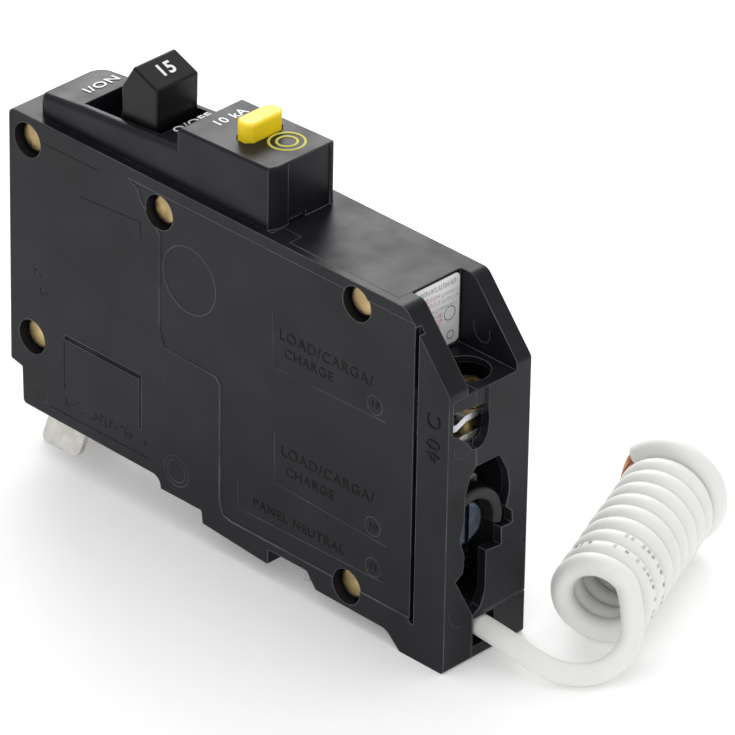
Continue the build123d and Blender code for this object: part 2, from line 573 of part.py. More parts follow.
# ------------------------------------------------------------------------------------- braid
# Flexible copper lead from the contact arm to the bimetal.
with BuildPart() as braid:
    round_wire([(-26.4, MID_Y, 31.0), (-22.0, MID_Y, 27.0), (-14.5, MID_Y, 22.5), (-6.5, MID_Y, 19.5),
                (-1.0, MID_Y, 21.5)], 1.1)
braid.part.label = "braid"
export_step(braid.part, "parts/braid.step")

# -------------------------------------------------------------------------- load conductors
# Both conductors pass through the window of the sensing toroid.
with BuildPart() as power_wire:
    round_wire([(1.2, -5.5, 18.0), (6.0, -5.9, 16.9), (10.6, -5.9, 19.0), (14.4, -5.2, 24.0),
                (14.4, 3.4, 24.0), (18.0, 3.7, 30.0), (26.0, 2.6, 35.5), (33.0, -1.4, 41.0),
                (36.6, -3.4, 43.9), (40.6, -3.5, 43.9)], 1.3)
power_wire.part.label = "power_wire"
export_step(power_wire.part, "parts/power_wire.step")

with BuildPart() as neutral_wire:
    round_wire([(41.2, -4.8, 15.2), (36.0, -4.8, 15.2), (28.0, -5.8, 17.0), (21.5, -5.9, 20.0),
                (17.6, -5.2, 24.0), (17.6, 3.4, 24.0), (22.0, 3.8, 19.0), (27.0, 2.4, 14.5),
                (31.6, 0.2, 12.6)], 1.3)
neutral_wire.part.label = "neutral_wire"
export_step(neutral_wire.part, "parts/neutral_wire.step")

# ---------------------------------------------------------------------------- sensing toroid
TOROID_X, TOROID_Z = 16.0, 24.0
with BuildPart() as toroid_core:
    rod_y(TOROID_X, TOROID_Z, 7.6, -3.2, 0.6)
    rod_y(TOROID_X, TOROID_Z, 5.4, -3.3, 0.7, mode=Mode.SUBTRACT)
toroid_core.part.label = "toroid_core"
export_step(toroid_core.part, "parts/toroid_core.step")

with BuildPart() as toroid_winding:
    with BuildSketch(Plane.XY) as bundle:
        with Locations((TOROID_X + 6.5, -1.3)):
            Rectangle(3.6, 5.4)
            Rectangle(2.3, 3.9, mode=Mode.SUBTRACT)
    turned = bundle.sketch.moved(Location((0, 0, TOROID_Z)))
    revolve(turned, axis=Axis((TOROID_X, 0, TOROID_Z), (0, 1, 0)), revolution_arc=300)
toroid_winding.part.label = "toroid_winding"
export_step(toroid_winding.part, "parts/toroid_winding.step")

# ------------------------------------------------------------------------------ circuit board
with BuildPart() as circuit_board:
    block((6.4, 35.6), (5.4, 7.0), (10.4, 58.4))
    for x, z in RIVETS[3:]:
        rod_y(x, z, BOSS_SLIM + 0.4, 5.0, 7.4, mode=Mode.SUBTRACT)
    for z in (14.0, 57.0):
        rod_y(8.4, z, 0.9, 5.0, 7.4, mode=Mode.SUBTRACT)
circuit_board.part.label = "circuit_board"
export_step(circuit_board.part, "parts/circuit_board.step")

with BuildPart() as control_chip:
    block((26.2, 32.6), (3.0, 5.4), (22.4, 32.2))
    block((27.4, 31.4), (2.8, 3.0), (31.0, 31.6), mode=Mode.SUBTRACT)
control_chip.part.label = "control_chip"
export_step(control_chip.part, "parts/control_chip.step")

with BuildPart() as electrolytic_capacitor:
    rod_y(30.6, 54.0, 3.4, -2.4, 5.4)
    fillet(electrolytic_capacitor.edges().sort_by(Axis.Y)[0], 0.5)
electrolytic_capacitor.part.label = "electrolytic_capacitor"
export_step(electrolytic_capacitor.part, "parts/electrolytic_capacitor.step")

with BuildPart() as film_capacitor:
    block((6.8, 12.8), (0.4, 5.4), (34.4, 39.6))
    fillet(film_capacitor.edges().filter_by(Axis.Y), 0.6)
film_capacitor.part.label = "film_capacitor"
export_step(film_capacitor.part, "parts/film_capacitor.step")

with BuildPart() as varistor:
    rod_y(30.4, 44.6, 3.8, 1.6, 5.4)
    fillet(varistor.edges().sort_by(Axis.Y)[0], 0.8)
varistor.part.label = "varistor"
export_step(varistor.part, "parts/varistor.step")

with BuildPart() as thyristor:
    block((7.2, 11.6), (2.2, 5.4), (12.0, 15.6))
thyristor.part.label = "thyristor"
export_step(thyristor.part, "parts/thyristor.step")

with BuildPart() as resistors:
    for i in range(4):
        rod_x(4.5, 57.2 - 2.6 * (i % 2), 0.9, 10.4 + 8.0 * (i // 2), 16.4 + 8.0 * (i // 2))
resistors.part.label = "resistors"
export_step(resistors.part, "parts/resistors.step")

# ----------------------------------------------------------------------------------- solenoid
with BuildPart() as solenoid_frame:
    block((8.3, 9.3), (-6.4, 5.0), (41.6, 53.4))
    block((24.7, 25.7), (-6.4, 5.0), (41.6, 53.4))
    block((8.3, 25.7), (-6.4, 5.0), (40.6, 41.6))
    rod_x(SOLENOID_Y, SOLENOID_Z, 2.4, 8.0, 9.6, mode=Mode.SUBTRACT)
solenoid_frame.part.label = "solenoid_frame"
export_step(solenoid_frame.part, "parts/solenoid_frame.step")

with BuildPart() as solenoid_bobbin:
    rod_x(SOLENOID_Y, SOLENOID_Z, 3.0, 9.4, 24.6)
    rod_x(SOLENOID_Y, SOLENOID_Z, 5.4, 9.4, 10.4)
    rod_x(SOLENOID_Y, SOLENOID_Z, 5.4, 23.6, 24.6)
    rod_x(SOLENOID_Y, SOLENOID_Z, 2.08, 9.0, 25.0, mode=Mode.SUBTRACT)
solenoid_bobbin.part.label = "solenoid_bobbin"
export_step(solenoid_bobbin.part, "parts/solenoid_bobbin.step")

with BuildPart() as solenoid_winding:
    rod_x(SOLENOID_Y, SOLENOID_Z, 5.0, 10.4, 23.6)
    rod_x(SOLENOID_Y, SOLENOID_Z, 3.0, 10.0, 24.0, mode=Mode.SUBTRACT)
solenoid_winding.part.label = "solenoid_winding"
export_step(solenoid_winding.part, "parts/solenoid_winding.step")

with BuildPart() as plunger:
    rod_x(SOLENOID_Y, SOLENOID_Z, 2.0, 8.0, 17.0)
    rod_x(SOLENOID_Y, SOLENOID_Z, 0.9, 17.0, 20.5)
    rod_x(SOLENOID_Y, SOLENOID_Z, 0.8, -4.1, 8.0)
    rod_x(SOLENOID_Y, SOLENOID_Z, 1.8, -5.0, -4.0)
plunger.part.label = "plunger"
export_step(plunger.part, "parts/plunger.step")

with BuildPart() as plunger_spring:
    coil_spring((17.4, SOLENOID_Y, SOLENOID_Z), (1.0, 0.0, 0.0), 6.9, 1.4, 0.2, 7)
plunger_spring.part.label = "plunger_spring"
export_step(plunger_spring.part, "parts/plunger_spring.step")

# -------------------------------------------------------------------------------- test button
FLANGE_Z = (73.2, 74.3)
with BuildPart() as test_button:
    with BuildSketch(Plane.XY.offset(FLANGE_Z[0])):
        with Locations((BUTTON_X, BUTTON_Y)):
            Rectangle(*BUTTON_SIZE)
    extrude(amount=BUTTON_TOP - FLANGE_Z[0])
    chamfer(test_button.edges().filter_by(Axis.Z), BUTTON_CORNER)
    fillet(test_button.faces().sort_by(Axis.Z)[-1].edges(), 0.5)
    block((BUTTON_X - 2.7, BUTTON_X + 2.7), (BUTTON_Y - 4.9, BUTTON_Y + 4.9), FLANGE_Z)
    rod_z(BUTTON_X, BUTTON_Y, 1.0, 67.4, FLANGE_Z[0])
test_button.part.label = "test_button"
export_step(test_button.part, "parts/test_button.step")

with BuildPart() as test_button_spring:
    coil_spring((BUTTON_X, BUTTON_Y, 67.0), (0.0, 0.0, 1.0), 5.8, 1.6, 0.25, 5)
test_button_spring.part.label = "test_button_spring"
export_step(test_button_spring.part, "parts/test_button_spring.step")

# Bracket that carries the spring, and the leaf that the button's stem presses
with BuildPart() as test_contact:
    block((-4.6, 2.4), (-2.4, 3.0), (66.0, 66.6))
    rod_z(BUTTON_X, BUTTON_Y, 1.15, 65.0, 67.0, mode=Mode.SUBTRACT)
    block((2.4, 3.2), (-2.4, 3.0), (57.6, 66.6))
    block((3.2, 9.0), (0.4, 3.0), (57.6, 58.2))
    block((7.0, 9.0), (3.0, 5.4), (57.6, 58.2))
test_contact.part.label = "test_contact"
export_step(test_contact.part, "parts/test_contact.step")

# ---------------------------------------------------------------------------- power terminal
with BuildPart() as power_strap:
    block((39.5, 49.4), (-8.0, 4.8), (41.4, 42.6))
    rod_z(*POWER_SCREW, TERMINAL_SHANK + RUNNING_GAP, 41.0, 43.0, mode=Mode.SUBTRACT)
power_strap.part.label = "power_strap"
export_step(power_strap.part, "parts/power_strap.step")

with BuildPart() as power_clamp_plate:
    saddle = [
        (-8.0, 44.6), (-5.6, 44.0), (-3.2, 45.0), (4.8, 45.0), (4.8, 46.2), (-3.6, 46.2), (-5.6, 45.3),
        (-8.0, 45.9),
    ]
    prism_x(saddle, 41.0, 49.4)
    rod_z(*POWER_SCREW, TERMINAL_SHANK + 0.25, 43.5, 46.5, mode=Mode.SUBTRACT)
    fillet(power_clamp_plate.edges().filter_by(Axis.Z).filter_by_position(Axis.X, 49.3, 49.5), 0.6)
power_clamp_plate.part.label = "power_clamp_plate"
export_step(power_clamp_plate.part, "parts/power_clamp_plate.step")

SCREW_HEAD = 3.7
HEAD_SEAT = 46.3
HEAD_HEIGHT = 2.4
with BuildPart() as power_screw:
    rod_z(*POWER_SCREW, TERMINAL_SHANK, 39.4, HEAD_SEAT)
    rod_z(*POWER_SCREW, SCREW_HEAD, HEAD_SEAT, HEAD_SEAT + HEAD_HEIGHT)
    fillet(power_screw.edges().filter_by(GeomType.CIRCLE).sort_by(Axis.Z)[-1], 0.8)
    block((POWER_SCREW[0] - 4, POWER_SCREW[0] + 4), (POWER_SCREW[1] - 0.5, POWER_SCREW[1] + 0.5),
          (HEAD_SEAT + HEAD_HEIGHT - 1.0, 51.0), mode=Mode.SUBTRACT)
    block((POWER_SCREW[0] - 0.5, POWER_SCREW[0] + 0.5), (POWER_SCREW[1] - 2.4, POWER_SCREW[1] + 2.4),
          (HEAD_SEAT + HEAD_HEIGHT - 1.0, 51.0), mode=Mode.SUBTRACT)
power_screw.part.label = "power_screw"
export_step(power_screw.part, "parts/power_screw.step")

# -------------------------------------------------------------------------- neutral terminal
with BuildPart() as neutral_strap:
    block((41.2, 42.4), (-7.6, 5.6), (12.0, 33.0))
    rod_x(*NEUTRAL_SCREW, TERMINAL_SHANK + RUNNING_GAP, 41.0, 43.0, mode=Mode.SUBTRACT)
neutral_strap.part.label = "neutral_strap"
export_step(neutral_strap.part, "parts/neutral_strap.step")

with BuildPart() as neutral_clamp_plate:
    block((45.8, 46.8), (-7.6, 2.4), (20.6, 32.0))
    rod_x(*NEUTRAL_SCREW, TERMINAL_SHANK + 0.25, 45.0, 47.0, mode=Mode.SUBTRACT)
    fillet(neutral_clamp_plate.edges().filter_by(Axis.X), 0.8)
neutral_clamp_plate.part.label = "neutral_clamp_plate"
export_step(neutral_clamp_plate.part, "parts/neutral_clamp_plate.step")

NEUTRAL_HEAD = 4.3
with BuildPart() as neutral_screw:
    rod_x(*NEUTRAL_SCREW, TERMINAL_SHANK, 40.6, 46.9)
    rod_x(*NEUTRAL_SCREW, NEUTRAL_HEAD, 46.9, 49.5)
    fillet(neutral_screw.edges().filter_by(GeomType.CIRCLE).sort_by(Axis.X)[-1], 1.2)
    block((48.6, 50.6), (NEUTRAL_SCREW[0] - 0.5, NEUTRAL_SCREW[0] + 0.5),
          (NEUTRAL_SCREW[1] - 4.5, NEUTRAL_SCREW[1] + 4.5), mode=Mode.SUBTRACT)
neutral_screw.part.label = "neutral_screw"
export_step(neutral_screw.part, "parts/neutral_screw.step")

COLLAR_OUTER = 7.05
COLLAR_INNER = 4.9
# Insulating collar that guides the screwdriver to the neutral screw
with BuildPart() as screw_collar:
    with BuildSketch(Plane.YZ.offset(47.9)) as arch:
        with Locations(NEUTRAL_SCREW):
            Circle(COLLAR_OUTER)
            Circle(COLLAR_INNER, mode=Mode.SUBTRACT)
        with BuildLine():
            Polyline((-4.9, 26.4), (-2.8, 26.0), (5.6, 23.0), (5.6, 36.0), (-4.0, 36.0),
                     (-4.9, 33.0), close=True)
        make_face(mode=Mode.INTERSECT)
    extrude(arch.sketch, amount=3.1)
    collar_rim = screw_collar.edges().filter_by(GeomType.CIRCLE).filter_by_position(Axis.X, 50.9, 51.1)
    fillet(collar_rim, 0.6)
screw_collar.part.label = "screw_collar"
export_step(screw_collar.part, "parts/screw_collar.step")

# ------------------------------------------------------------------------------- mounting side
# Bent wire spring in the rail notch
with BuildPart() as rail_hook_spring:
    round_wire([(18.8, 8.0, 3.0), (18.8, 8.0, 5.2), (18.8, 5.6, 6.5), (18.8, -5.6, 6.5),
                (18.8, -8.0, 5.2), (18.8, -8.0, 3.0)], 0.6)
rail_hook_spring.part.label = "rail_hook_spring"
export_step(rail_hook_spring.part, "parts/rail_hook_spring.step")

# --------------------------------------------------------------------------------------- label
with BuildPart() as label:
    with BuildSketch(Plane.YZ.offset(LABEL_WALL)):
        with Locations((0.5, 58.5)):
            RectangleRounded(10.8, 12.8, 0.9)
    extrude(amount=0.2)
label.part.label = "label"
export_step(label.part, "parts/label.step")

# ------------------------------------------------------------------------------------ pigtail
with BuildPart() as pigtail_inner:
    round_wire(INNER_ROUTE, WIRE_R)
pigtail_inner.part.label = "pigtail_inner"
export_step(pigtail_inner.part, "parts/pigtail_inner.step")

# The close-wound coil as one solid of its outer shape, with the loose half turn at its far end
coil_axis = (Vector(*COIL_BACK) - Vector(*COIL_FRONT)).normalized()
across = Vector(coil_axis.Y, -coil_axis.X, 0)
rise = Vector(0, 0, 1)
coil_length = (Vector(*COIL_BACK) - Vector(*COIL_FRONT)).length


def around_coil(angle):
    """Unit vector from the coil's axis, turned from the right over the top."""
    return across * cos(radians(angle)) + rise * sin(radians(angle))


END_ANGLE = 140
LOOSE_TURN = 175
with BuildPart() as pigtail_coil:
    with BuildSketch(Plane(origin=Vector(*COIL_FRONT) - coil_axis * WIRE_R, z_dir=coil_axis)):
        Circle(COIL_OUTER)
        Circle(COIL_OUTER - WIRE, mode=Mode.SUBTRACT)
    extrude(amount=coil_length)
    loose_from = Plane(origin=COIL_BACK, x_dir=around_coil(END_ANGLE - LOOSE_TURN),
                       z_dir=around_coil(END_ANGLE - LOOSE_TURN - 90))
    with BuildSketch(loose_from) as wire_section:
        with Locations((COIL_OUTER - WIRE_R + 0.8, 0)):
            Rectangle(WIRE + 0.8, WIRE)
    revolve(wire_section.sketch, axis=Axis(COIL_FRONT, tuple(-coil_axis)), revolution_arc=LOOSE_TURN)
pigtail_coil.part.label = "pigtail_coil"
export_step(pigtail_coil.part, "parts/pigtail_coil.step")

# Free lead, ending where it meets the coil's first turn
with BuildPart() as pigtail_lead:
    round_wire(LEAD_ROUTE, WIRE_R)
    swept = pigtail_lead.part.volume
    add(pigtail_coil.part, mode=Mode.SUBTRACT)
pigtail_lead.part.label = "pigtail_lead"
export_step(pigtail_lead.part, "parts/pigtail_lead.step")

# Stripped copper end of the last turn, pointing down beside the coil
STRIPPED = 5.6
with BuildPart() as pigtail_strands:
    stripped_from = Vector(*COIL_BACK) + around_coil(END_ANGLE) * (COIL_OUTER - WIRE_R + 0.8)
    with BuildSketch(Plane(origin=stripped_from, z_dir=around_coil(END_ANGLE + 90))):
        Circle(1.3)
    extrude(amount=STRIPPED)
pigtail_strands.part.label = "pigtail_strands"
export_step(pigtail_strands.part, "parts/pigtail_strands.step")

# ------------------------------------------------------------------------------------- report
lead_length = sum((Vector(*b) - Vector(*a)).length for a, b in zip(LEAD_ROUTE, LEAD_ROUTE[1:]))
section_area = 3.14159 * WIRE_R**2
print("lead radii", [round(r, 1) for r in bend_radii(LEAD_ROUTE)])
print("lead runs", round(lead_length, 1), "swept volume / section", round(swept / section_area, 1))
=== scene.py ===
import bpy
import json
import math
import random
from mathutils import Matrix, Vector


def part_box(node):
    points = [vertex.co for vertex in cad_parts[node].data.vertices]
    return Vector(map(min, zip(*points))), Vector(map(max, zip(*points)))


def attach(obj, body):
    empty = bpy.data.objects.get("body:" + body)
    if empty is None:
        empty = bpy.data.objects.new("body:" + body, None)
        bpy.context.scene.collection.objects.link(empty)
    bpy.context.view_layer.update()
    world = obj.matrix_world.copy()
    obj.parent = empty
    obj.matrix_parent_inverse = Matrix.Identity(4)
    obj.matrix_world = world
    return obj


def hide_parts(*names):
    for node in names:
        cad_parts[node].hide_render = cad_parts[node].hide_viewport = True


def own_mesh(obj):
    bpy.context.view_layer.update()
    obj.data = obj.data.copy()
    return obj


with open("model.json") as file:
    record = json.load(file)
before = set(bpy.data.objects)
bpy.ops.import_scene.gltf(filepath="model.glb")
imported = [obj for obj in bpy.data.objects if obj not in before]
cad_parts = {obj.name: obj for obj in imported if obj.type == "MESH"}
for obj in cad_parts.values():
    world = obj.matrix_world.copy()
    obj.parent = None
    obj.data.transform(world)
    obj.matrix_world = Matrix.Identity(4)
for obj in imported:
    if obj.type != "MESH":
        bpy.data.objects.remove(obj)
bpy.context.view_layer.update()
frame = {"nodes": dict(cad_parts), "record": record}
nodes = frame["nodes"]
random.seed(7)
MM = 0.001
X_DIR, Y_DIR, Z_DIR = Vector((1, 0, 0)), Vector((0, 1, 0)), Vector((0, 0, 1))
scene = bpy.context.scene
scene.view_settings.view_transform = "Standard"


def mm(*values):
    """A point or size in millimetres as a vector in metres."""
    return Vector(v * MM for v in values)


def place_object(name, data):
    """New object in the scene for a mesh, a curve, a light or a camera."""
    added = bpy.data.objects.new(name, data)
    scene.collection.objects.link(added)
    return added


def as_mesh(name, curve_data):
    """Mesh of a curve or a text, made by way of an object that is taken out again."""
    temporary = place_object(name, curve_data)
    made = bpy.data.meshes.new_from_object(temporary)
    bpy.data.objects.remove(temporary)
    return made


# ---------------------------------------------------------------------------------- camera
AZIMUTH, ELEVATION, ROLL = math.radians(44.05), math.radians(30.79), math.radians(1.02)
LENS, SENSOR = 382.18, 36.0
NEAREST, FARTHEST = 0.05, 20.0
AIM = Vector((0.0515, 0, 0))
SHIFT_RIGHT, SHIFT_UP, DISTANCE = -0.01904, 0.04704, 1.28366


def make_camera():
    """Long lens, looking down from the load end's front corner, with a degree of roll."""
    back = Vector((math.sin(AZIMUTH) * math.cos(ELEVATION),
                   -math.cos(AZIMUTH) * math.cos(ELEVATION),
                   math.sin(ELEVATION)))
    level = Z_DIR.cross(back).normalized()
    plumb = back.cross(level)
    right = level * math.cos(ROLL) + plumb * math.sin(ROLL)
    up = plumb * math.cos(ROLL) - level * math.sin(ROLL)
    data = bpy.data.cameras.new("camera")
    data.lens = LENS
    data.sensor_width = SENSOR
    data.clip_start, data.clip_end = NEAREST, FARTHEST
    camera = place_object("camera", data)
    spot = right * SHIFT_RIGHT + up * SHIFT_UP + back * DISTANCE + AIM
    turn = Matrix((right, up, back)).transposed().to_4x4()
    camera.matrix_world = Matrix.Translation(spot) @ turn
    scene.camera = camera


make_camera()

# -------------------------------------------------------------------------------- materials
# Noise scales are per metre; bump depths, rounding and the width of the painted edge highlight are
# in metres.
NOISE_LOW, NOISE_HIGH = 0.3, 0.7
CLOUD_SCALE, GLOSS_SCALE, PEEL_SCALE, SCUFF_SCALE = 90, 160, 900, 260
SCUFF_STRETCH = (0.25, 1, 3)
PATCH_SCALE, DRAWN_SCALE = 420, 700
METAL_ROUNDING, SPECKLE_ROUNDING = 0.00015, 0.0002
# Painted highlight along sharp edges: its patchiness, its width, and the cosines where it starts
# and where it is full.
HIGHLIGHT_PATCH_SCALE = 130
HIGHLIGHT_LEAST, HIGHLIGHT_MOST = 0.25, 1.0
HIGHLIGHT_WIDTH = 0.00034
HIGHLIGHT_STARTS, HIGHLIGHT_IS_FULL = 0.98, 0.84     # cosine between the rounded and the flat normal
EVEN = (1, 1, 1)

PHENOLIC_TONE = (0.0088, 0.0092, 0.0122)
# Colours of the painted highlight along the edges of the black plastics.
PHENOLIC_EDGE_HIGHLIGHT = (0.17, 0.175, 0.19)
BLACK_EDGE_HIGHLIGHT = (0.05, 0.05, 0.055)


def shader(name, tone, roughness, metallic=0.0, **sockets):
    """A material with its principled shader, and the object-space coordinates for its pattern."""
    material = bpy.data.materials.new(name)
    material.use_nodes = True
    tree = material.node_tree
    principled = tree.nodes["Principled BSDF"]
    principled.inputs["Base Color"].default_value = (*tone, 1)
    principled.inputs["Roughness"].default_value = roughness
    principled.inputs["Metallic"].default_value = metallic
    for socket, value in sockets.items():
        principled.inputs[socket.replace("_", " ")].default_value = value
    where = tree.nodes.new("ShaderNodeTexCoord").outputs["Object"]
    return material, tree, principled, where


def noise(tree, where, scale, detail, stretch=None):
    """Noise of a given scale and detail, stretched along an axis if asked."""
    node = tree.nodes.new("ShaderNodeTexNoise")
    node.inputs["Scale"].default_value = scale
    node.inputs["Detail"].default_value = detail
    source = where
    if stretch:
        mapping = tree.nodes.new("ShaderNodeMapping")
        mapping.inputs["Scale"].default_value = stretch
        tree.links.new(where, mapping.inputs["Vector"])
        source = mapping.outputs["Vector"]
    tree.links.new(source, node.inputs["Vector"])
    return node.outputs["Fac"]


def ramp(tree, value, low, high, colours):
    """Colour ramp between two positions."""
    node = tree.nodes.new("ShaderNodeValToRGB")
    node.color_ramp.elements[0].position = low
    node.color_ramp.elements[1].position = high
    for element, colour in zip(node.color_ramp.elements, colours):
        element.color = (*colour, 1)
    tree.links.new(value, node.inputs["Fac"])
    return node.outputs["Color"]


def spread(tree, value, low, high):
    """Value moved from the noise's middle band to a range."""
    node = tree.nodes.new("ShaderNodeMapRange")
    node.inputs["From Min"].default_value = NOISE_LOW
    node.inputs["From Max"].default_value = NOISE_HIGH
    node.inputs["To Min"].default_value = low
    node.inputs["To Max"].default_value = high
    tree.links.new(value, node.inputs["Value"])
    return node.outputs["Result"]


def rounded_normal(tree, radius, samples):
    """Shading normal that softens the edges over a radius."""
    bevel = tree.nodes.new("ShaderNodeBevel")
    bevel.samples = samples
    bevel.inputs["Radius"].default_value = radius
    return bevel.outputs["Normal"]


def relief(tree, principled, heights, strength, rounding):
    """Bump from several (height, depth) pairs, over softly rounded edges if asked."""
    normal = rounded_normal(tree, rounding, 6) if rounding else None
    for height, depth in heights:
        bump = tree.nodes.new("ShaderNodeBump")
        bump.inputs["Strength"].default_value = strength
        bump.inputs["Distance"].default_value = depth
        tree.links.new(height, bump.inputs["Height"])
        if normal:
            tree.links.new(normal, bump.inputs["Normal"])
        normal = bump.outputs["Normal"]
    tree.links.new(normal, principled.inputs["Normal"])


def painted_edge_highlight(tree, where, colour, edge_highlight):
    """Colour with a painted highlight along its sharp edges, stronger in some places than in
    others.
    """
    rounded = rounded_normal(tree, HIGHLIGHT_WIDTH, 8)
    flat = tree.nodes.new("ShaderNodeNewGeometry").outputs["Normal"]
    likeness = tree.nodes.new("ShaderNodeVectorMath")
    likeness.operation = "DOT_PRODUCT"
    tree.links.new(rounded, likeness.inputs[0])
    tree.links.new(flat, likeness.inputs[1])
    edge = tree.nodes.new("ShaderNodeMapRange")
    edge.inputs["From Min"].default_value = HIGHLIGHT_STARTS
    edge.inputs["From Max"].default_value = HIGHLIGHT_IS_FULL
    tree.links.new(likeness.outputs["Value"], edge.inputs["Value"])
    highlight_share = spread(tree, noise(tree, where, HIGHLIGHT_PATCH_SCALE, 5), HIGHLIGHT_LEAST, HIGHLIGHT_MOST)
    amount = tree.nodes.new("ShaderNodeMath")
    amount.operation = "MULTIPLY"
    tree.links.new(edge.outputs["Result"], amount.inputs[0])
    tree.links.new(highlight_share, amount.inputs[1])
    mix = tree.nodes.new("ShaderNodeMix")
    mix.data_type = "RGBA"
    mix.inputs["B"].default_value = (*edge_highlight, 1)
    tree.links.new(amount.outputs["Value"], mix.inputs["Factor"])
    tree.links.new(colour, mix.inputs["A"])
    return mix.outputs["Result"]


def moulded(name, tone, roughness, mottle=0.25, orange_peel=0.00003, rounding=0.0003, edge_highlight=None,
            **sockets):
    """Moulded plastic: faint flow mottle, uneven gloss, orange peel, fine handling marks and, if
    asked, a painted highlight along the edges.
    """
    material, tree, principled, where = shader(name, tone, roughness, **sockets)
    dark = tuple(c * (1 - mottle) for c in tone)
    light = tuple(min(1, c * (1 + mottle)) for c in tone)
    clouds = ramp(tree, noise(tree, where, CLOUD_SCALE, 5), 0.35, 0.65, (dark, light))
    # Painted highlight along the sharp edges, if asked.
    if edge_highlight:
        clouds = painted_edge_highlight(tree, where, clouds, edge_highlight)
    tree.links.new(clouds, principled.inputs["Base Color"])
    gloss = noise(tree, where, GLOSS_SCALE, 6)
    tree.links.new(spread(tree, gloss, roughness - 0.07, roughness + 0.09),
                   principled.inputs["Roughness"])
    peel = noise(tree, where, PEEL_SCALE, 3)
    scuffs = noise(tree, where, SCUFF_SCALE, 8, SCUFF_STRETCH)
    relief(tree, principled, [(peel, orange_peel), (scuffs, orange_peel)], 0.35, rounding)
    return material


def metal(name, tone, roughness, grain, tarnish, depth=0.00001):
    """Metal with a drawn grain, patchy gloss and a little tarnish."""
    material, tree, principled, where = shader(name, tone, roughness, 1.0)
    dull = tuple(c * (1 - tarnish) for c in tone)
    patches = noise(tree, where, PATCH_SCALE, 6)
    tree.links.new(ramp(tree, patches, 0.38, 0.68, (dull, tone)),
                   principled.inputs["Base Color"])
    drawn = noise(tree, where, DRAWN_SCALE, 6, grain)
    tree.links.new(spread(tree, drawn, roughness - 0.08, roughness + 0.14),
                   principled.inputs["Roughness"])
    relief(tree, principled, [(drawn, depth)], 0.4, METAL_ROUNDING)
    return material


def speckled(name, tone, other, roughness, scale=1500, depth=0.00002):
    """Matt surface with a fine speckle of a second tone, such as fibre, board or epoxy."""
    material, tree, principled, where = shader(name, tone, roughness)
    grain = noise(tree, where, scale, 6)
    tree.links.new(ramp(tree, grain, 0.42, 0.6, (tone, other)), principled.inputs["Base Color"])
    relief(tree, principled, [(grain, depth)], 0.4, SPECKLE_ROUNDING)
    return material


def ink(name, tone, roughness, mottle):
    """Printing ink: nearly smooth, with a patchy tone."""
    return moulded(name, tone, roughness, mottle, orange_peel=0.00001, rounding=0)


def paint(node, material):
    """One material for a CAD solid."""
    shown = nodes[node].data.materials
    shown.clear()
    shown.append(material)


MATERIALS = {
    # The phenolic, the handle and the collar carry a painted highlight along their edges.
    "phenolic_black": moulded("phenolic_black", PHENOLIC_TONE, 0.34, edge_highlight=PHENOLIC_EDGE_HIGHLIGHT,
                              Specular_IOR_Level=0.17),
    "handle_black": moulded("handle_black", (0.006, 0.006, 0.007), 0.3, edge_highlight=BLACK_EDGE_HIGHLIGHT,
                            Specular_IOR_Level=0.2),
    "button_yellow": moulded("button_yellow", (0.95, 0.70, 0.012), 0.36, mottle=0.05,
                             orange_peel=0.00002),
    "brass_rivet": metal("brass_rivet", (0.62, 0.46, 0.22), 0.34, EVEN, 0.35),
    "brass_screw": metal("brass_screw", (0.66, 0.50, 0.22), 0.3, EVEN, 0.3),
    "steel_zinc": metal("steel_zinc", (0.68, 0.69, 0.70), 0.26, (1, 6, 1), 0.25),
    "steel_spring": metal("steel_spring", (0.50, 0.50, 0.51), 0.32, EVEN, 0.3),
    "tinned_copper": metal("tinned_copper", (0.78, 0.76, 0.72), 0.3, (1, 1, 8), 0.2),
    "copper": metal("copper", (0.72, 0.36, 0.20), 0.32, EVEN, 0.3),
    "contact_silver": metal("contact_silver", (0.82, 0.82, 0.80), 0.25, EVEN, 0.15),
    "fibre": speckled("fibre", (0.28, 0.25, 0.20), (0.34, 0.31, 0.26), 0.8),
    "bimetal": metal("bimetal", (0.56, 0.54, 0.50), 0.35, (1, 1, 10), 0.25),
    "wire_black": moulded("wire_black", (0.02, 0.02, 0.02), 0.45, mottle=0.2, rounding=0),
    "wire_white": moulded("wire_white", (0.82, 0.815, 0.79), 0.42, mottle=0.02,
                          orange_peel=0.00002, rounding=0),
    "board_green": speckled("board_green", (0.02, 0.10, 0.04), (0.03, 0.13, 0.05), 0.4),
    "ferrite": speckled("ferrite", (0.03, 0.03, 0.033), (0.05, 0.05, 0.055), 0.6),
    "enamel_wire": metal("enamel_wire", (0.46, 0.17, 0.07), 0.3, (1, 14, 1), 0.35,
                         depth=0.00006),
    "bobbin_white": moulded("bobbin_white", (0.70, 0.67, 0.60), 0.5, mottle=0.05),
    "chip_black": speckled("chip_black", (0.012, 0.012, 0.012), (0.02, 0.02, 0.02), 0.6),
    "can_sleeve": moulded("can_sleeve", (0.015, 0.025, 0.10), 0.3, mottle=0.1),
    "film_red": moulded("film_red", (0.40, 0.04, 0.02), 0.3, mottle=0.1),
    "varistor_blue": moulded("varistor_blue", (0.02, 0.07, 0.30), 0.35, mottle=0.1),
    "resistor_tan": moulded("resistor_tan", (0.50, 0.36, 0.18), 0.4, mottle=0.1),
    "collar_black": moulded("collar_black", (0.008, 0.008, 0.009), 0.38, edge_highlight=BLACK_EDGE_HIGHLIGHT,
                            Specular_IOR_Level=0.3),
    "label_white": speckled("label_white", (0.95, 0.95, 0.96), (0.91, 0.91, 0.92), 0.45,
                            scale=3000, depth=0.000004),
}
LETTER_BLACK = moulded("letter_black", (0.006, 0.006, 0.0075), 0.42, Specular_IOR_Level=0.14)
RIDGE_GREY = moulded("ridge_grey", (0.07, 0.072, 0.08), 0.5, mottle=0.4,
                     Specular_IOR_Level=0.2)
